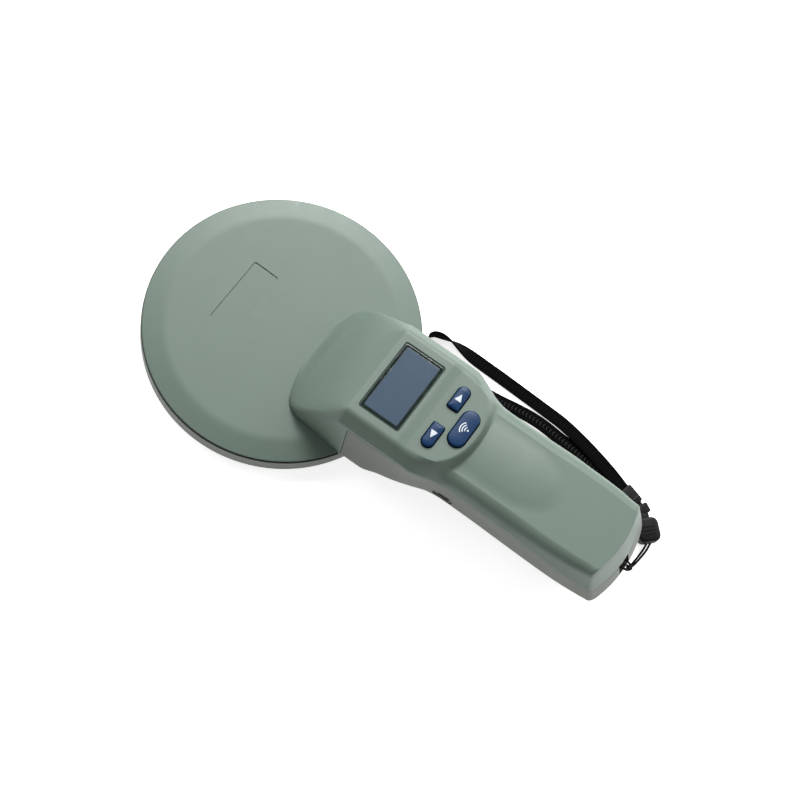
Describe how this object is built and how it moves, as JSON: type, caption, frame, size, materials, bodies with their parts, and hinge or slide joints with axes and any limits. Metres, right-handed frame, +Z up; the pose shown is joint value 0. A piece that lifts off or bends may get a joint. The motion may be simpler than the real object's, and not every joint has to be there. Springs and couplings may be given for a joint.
{
  "type": "handheld microchip scanner",
  "caption": "Handheld animal microchip scanner: flat round antenna disc, raised pod with display and three push buttons, straight grip and a wrist strap on its butt",
  "frame": {"origin": "Centre of the disc's flat reading face, the face that is held to the animal and that the scanner stands on", "axes": "+X from the disc towards the butt of the grip, +Y towards the side that the strap lies on, +Z up through the display"},
  "size_m": [0.3037, 0.1512, 0.0509],
  "materials": {
    "upper_plastic": "fine satin texture",
    "lower_plastic": "fine satin texture",
    "window_glass": "clear polycarbonate",
    "lcd": "liquid crystal glass, unlit",
    "button_plastic": "satin with white printed marks",
    "black_plastic": "satin",
    "white_plastic": "satin",
    "silicone": "matt",
    "board": "solder mask",
    "tinned_steel": "tinned",
    "screw_steel": "zinc plated",
    "cell_wrap": "shrink sleeve",
    "wire_jacket": "satin",
    "copper": "enamelled copper wire",
    "strap_plastic": "satin",
    "string_fabric": "braided",
    "band_fabric": "woven, with a light pattern"
  },
  "bodies": {
    "body": {"upper_shell": "upper_plastic", "lower_shell": "lower_plastic", "display_window": "window_glass", "window_gasket": "black_plastic", "lcd_panel": "lcd", "lcd_backlight": "white_plastic", "lcd_pins": "tinned_steel", "keypad_web": "silicone", "keypad_legs": "silicone", "main_board": "board", "board_chips": "black_plastic", "tact_switches": "black_plastic", "buzzer": "black_plastic", "charge_board": "board", "charge_parts": "black_plastic", "usb_shell": "tinned_steel", "usb_tongue": "black_plastic", "battery_cell": "cell_wrap", "battery_tabs": "tinned_steel", "battery_leads": "wire_jacket", "battery_plug": "white_plastic", "antenna_former": "white_plastic", "antenna_coil": "copper", "antenna_leads": "wire_jacket", "case_screws": "screw_steel", "board_screws": "screw_steel", "strap_pin": "screw_steel", "strap_string": "string_fabric", "strap_knot": "string_fabric", "strap_buckle": "strap_plastic"},
    "left_key": {"left_button": "button_plastic"},
    "right_key": {"right_button": "button_plastic"},
    "scan_key": {"scan_button": "button_plastic"},
    "strap_tail": {"strap_link": "strap_plastic", "strap_clamp": "strap_plastic", "strap_band": "band_fabric"}
  },
  "joints": [
    {"name": "left_press", "type": "slide", "parent": "body", "child": "left_key", "axis": [0.0698, 0, -0.9976], "range_m": [0, 0.0008], "stiffness_N_per_m": 500, "springref_m": -0.001},
    {"name": "right_press", "type": "slide", "parent": "body", "child": "right_key", "axis": [0.0698, 0, -0.9976], "range_m": [0, 0.0008], "stiffness_N_per_m": 500, "springref_m": -0.001},
    {"name": "scan_press", "type": "slide", "parent": "body", "child": "scan_key", "axis": [0.0698, 0, -0.9976], "range_m": [0, 0.0008], "stiffness_N_per_m": 500, "springref_m": -0.001},
    {"name": "strap_release", "type": "slide", "parent": "body", "child": "strap_tail", "axis": [-0.7193, 0.6947, 0], "range_m": [0, 0.006]}
  ]
}
